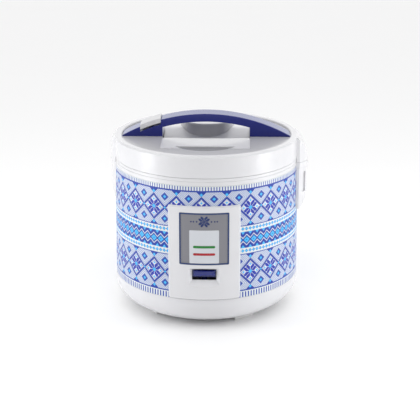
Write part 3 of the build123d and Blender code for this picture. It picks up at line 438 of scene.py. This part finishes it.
# ---- Settings -----------------------------------------------------------------------
class CookerColours(bpy.types.PropertyGroup):
    """Colours that a user would change."""

    white: bpy.props.FloatVectorProperty(
        name="White", description="Moulded shells", subtype="COLOR",
        default=rgb(219, 219, 222)[:3])


class StageSettings(bpy.types.PropertyGroup):
    """The camera's distance, angles and lens."""

    distance: bpy.props.FloatProperty(
        name="Distance", description="Camera to target", unit="LENGTH", default=1.6)
    elevation: bpy.props.FloatProperty(
        name="Elevation", description="Camera above the horizon", subtype="ANGLE",
        default=radians(18.59))
    azimuth: bpy.props.FloatProperty(
        name="Azimuth", description="Camera turned towards the hinge side", subtype="ANGLE",
        default=radians(1.2))
    lens: bpy.props.FloatProperty(name="Lens", description="Focal length in mm", default=94.11)


# ---- Pieces -------------------------------------------------------------------------
# Compression springs: node, body, joint, travel of the moving end, wire diameter, turns.
SPRINGS = (
    ("sensor_spring", "root", "sensor_press", 1.0 * MM, 1.0 * MM, 5),
    ("key_spring", "root", "key_press", 5.0 * MM, 0.7 * MM, 11),
    ("latch_spring", "lid", "latch_swing", 1.45 * MM, 0.8 * MM, 7),
)


def coil_mesh(name, foot, radius, wire, height, turns, sides=10, per_turn=36):
    """A compression spring standing on foot, its first and last turns wound closed."""
    mesh = bmesh.new()
    rings = []
    free = height - 3 * wire
    for step in range(turns * per_turn + 1):
        turn = step / per_turn
        active = min(max((turn - 1) / (turns - 2), 0), 1)
        rise = wire / 2 + wire * (min(turn, 1) + max(turn - turns + 1, 0)) + free * active
        ring = []
        for side in range(sides):
            around = 2 * pi * side / sides
            reach = radius + wire / 2 * cos(around)
            place = Vector((reach * cos(2 * pi * turn), reach * sin(2 * pi * turn),
                            rise + wire / 2 * sin(around)))
            ring.append(mesh.verts.new(foot + place))
        rings.append(ring)
    for first, second in zip(rings, rings[1:]):
        for side in range(sides):
            after = (side + 1) % sides
            mesh.faces.new((first[side], second[side], second[after], first[after]))
    mesh.faces.new(rings[0])
    mesh.faces.new(reversed(rings[-1]))
    bmesh.ops.recalc_face_normals(mesh, faces=mesh.faces)
    for face in mesh.faces:
        face.smooth = len(face.verts) == 4
    data = bpy.data.meshes.new(name)
    mesh.to_mesh(data)
    mesh.free()
    return data


def add_springs(material):
    for node, body, joint, travel, wire, turns in SPRINGS:
        low, high = (Vector(corner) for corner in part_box(node))
        middle = (low + high) / 2
        foot = Vector((middle.x, middle.y, low.z))
        height = high.z - low.z
        radius = (high.x - low.x - wire) / 2
        name = node + "_coil"
        piece = bpy.data.objects.new(name, coil_mesh(name, foot, radius, wire, height, turns))
        bpy.context.scene.collection.objects.link(piece)
        piece.data.materials.append(material)
        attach(piece, body)
        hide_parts(node)
        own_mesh(piece)


# ---- Operators ----------------------------------------------------------------------
def dress(materials):
    """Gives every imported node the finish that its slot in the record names."""
    for part in frame["record"]["subparts"]:
        piece = frame["nodes"][part["node"]]
        piece.data.materials.clear()
        piece.data.materials.append(materials[part["material_slot"]])


class COOKER_OT_finishes(bpy.types.Operator):
    """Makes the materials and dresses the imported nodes"""

    bl_idname = "cooker.finishes"
    bl_label = "Finishes"

    def execute(self, context):
        dress(all_materials(context.scene.cooker_colours))
        return {"FINISHED"}


class COOKER_OT_springs(bpy.types.Operator):
    """Winds the compression springs"""

    bl_idname = "cooker.springs"
    bl_label = "Springs"

    def execute(self, context):
        add_springs(bpy.data.materials["spring_steel"])
        return {"FINISHED"}


def area_light(name, place, target, size, power):
    """A rectangular soft box that the camera doesn't see."""
    data = bpy.data.lights.new(name, "AREA")
    data.shape = "RECTANGLE"
    data.size, data.size_y = size
    data.energy = power
    lamp = bpy.data.objects.new(name, data)
    lamp.location = place
    lamp.visible_camera = False
    lamp.rotation_euler = (Vector(target) - Vector(place)).to_track_quat("-Z", "Y").to_euler()
    bpy.context.scene.collection.objects.link(lamp)


def studio_sky():
    """Soft light from above and behind, with a dim front that keeps the white shells grey."""
    world = bpy.data.worlds.new("studio")
    world.use_nodes = True
    sky = Nodes(world.node_tree)
    _, y, z = sky.xyz("Generated")
    high = z.ramp(0.35, 0.8)
    back = y.ramp(0.45, 1.0) & (1 - high)
    light = 0.12 + high * 1.16 + back * 1.1
    shader = world.node_tree.nodes["Background"]
    sky.plug(shader.inputs["Strength"], light)
    shader.inputs["Color"].default_value = (1, 1, 1, 1)
    return world


TARGET = Vector((0, 0, 0.1352))
SIDE_STEP = 0.0051  # the camera's, to its right
FLOOR_HALF = 6.0
SIDE_BOX = ((0.95, -0.32, 0.3), (0, 0, 0.14), (0.3, 0.6), 4.4)  # place, target, size, watts
FRONT_BOX = ((0, -1.3, 1.7), (0, 0, 0.2), (1.2, 0.6), 1.3)


def add_camera(settings):
    az, el = settings.azimuth, settings.elevation
    right = Vector((cos(az), sin(az), 0))
    forward = Vector((-sin(az) * cos(el), cos(az) * cos(el), -sin(el)))
    data = bpy.data.cameras.new("camera")
    data.lens = settings.lens
    data.sensor_width = 36
    camera = bpy.data.objects.new("camera", data)
    camera.location = TARGET + right * SIDE_STEP - forward * settings.distance
    camera.rotation_euler = forward.to_track_quat("-Z", "Y").to_euler()
    bpy.context.scene.collection.objects.link(camera)
    bpy.context.scene.camera = camera


def add_floor():
    mesh = bpy.data.meshes.new("floor")
    corners = [(x * FLOOR_HALF, y * FLOOR_HALF, 0)
               for x, y in ((-1, -1), (1, -1), (1, 1), (-1, 1))]
    mesh.from_pydata(corners, [], [(0, 1, 2, 3)])
    floor = bpy.data.objects.new("floor", mesh)
    bpy.context.scene.collection.objects.link(floor)
    finish = Finish("floor")
    grain = finish.noise(6, 3)
    finish.set(
        Base_Color=finish.mix(grain * 0.3, rgb(250, 250, 250), rgb(246, 246, 247)),
        Roughness=0.8,
        Specular_IOR_Level=0.1,
    )
    floor.data.materials.append(finish.material)


class COOKER_OT_stage(bpy.types.Operator):
    """Puts up the pale floor, the soft lights and the camera"""

    bl_idname = "cooker.stage"
    bl_label = "Stage"

    def execute(self, context):
        scene = context.scene
        add_camera(scene.cooker_stage)
        add_floor()
        scene.world = studio_sky()
        (reach, *rest), target, size, power = SIDE_BOX
        for side in (-1, 1):
            area_light(f"side_box_{side + 2}", (side * reach, *rest), target, size, power)
        area_light("front_box", *FRONT_BOX)
        scene.view_settings.view_transform = "Standard"
        return {"FINISHED"}


class COOKER_PT_panel(bpy.types.Panel):
    """Sidebar panel that lists the steps"""

    bl_label = "Rice Cooker"
    bl_space_type = "VIEW_3D"
    bl_region_type = "UI"
    bl_category = "Cooker"

    def draw(self, context):
        column = self.layout.column()
        column.prop(context.scene.cooker_colours, "white")
        for step in STEPS:
            column.operator(step.bl_idname)


STEPS = (COOKER_OT_finishes, COOKER_OT_springs, COOKER_OT_stage)
CLASSES = (CookerColours, StageSettings, *STEPS, COOKER_PT_panel)


def register():
    for cls in CLASSES:
        bpy.utils.register_class(cls)
    bpy.types.Scene.cooker_colours = bpy.props.PointerProperty(type=CookerColours)
    bpy.types.Scene.cooker_stage = bpy.props.PointerProperty(type=StageSettings)


def unregister():
    del bpy.types.Scene.cooker_stage
    del bpy.types.Scene.cooker_colours
    for cls in reversed(CLASSES):
        bpy.utils.unregister_class(cls)


def main():
    register()
    for step in STEPS:
        group, name = step.bl_idname.split(".")
        getattr(getattr(bpy.ops, group), name)()


if __name__ == "__main__":
    main()
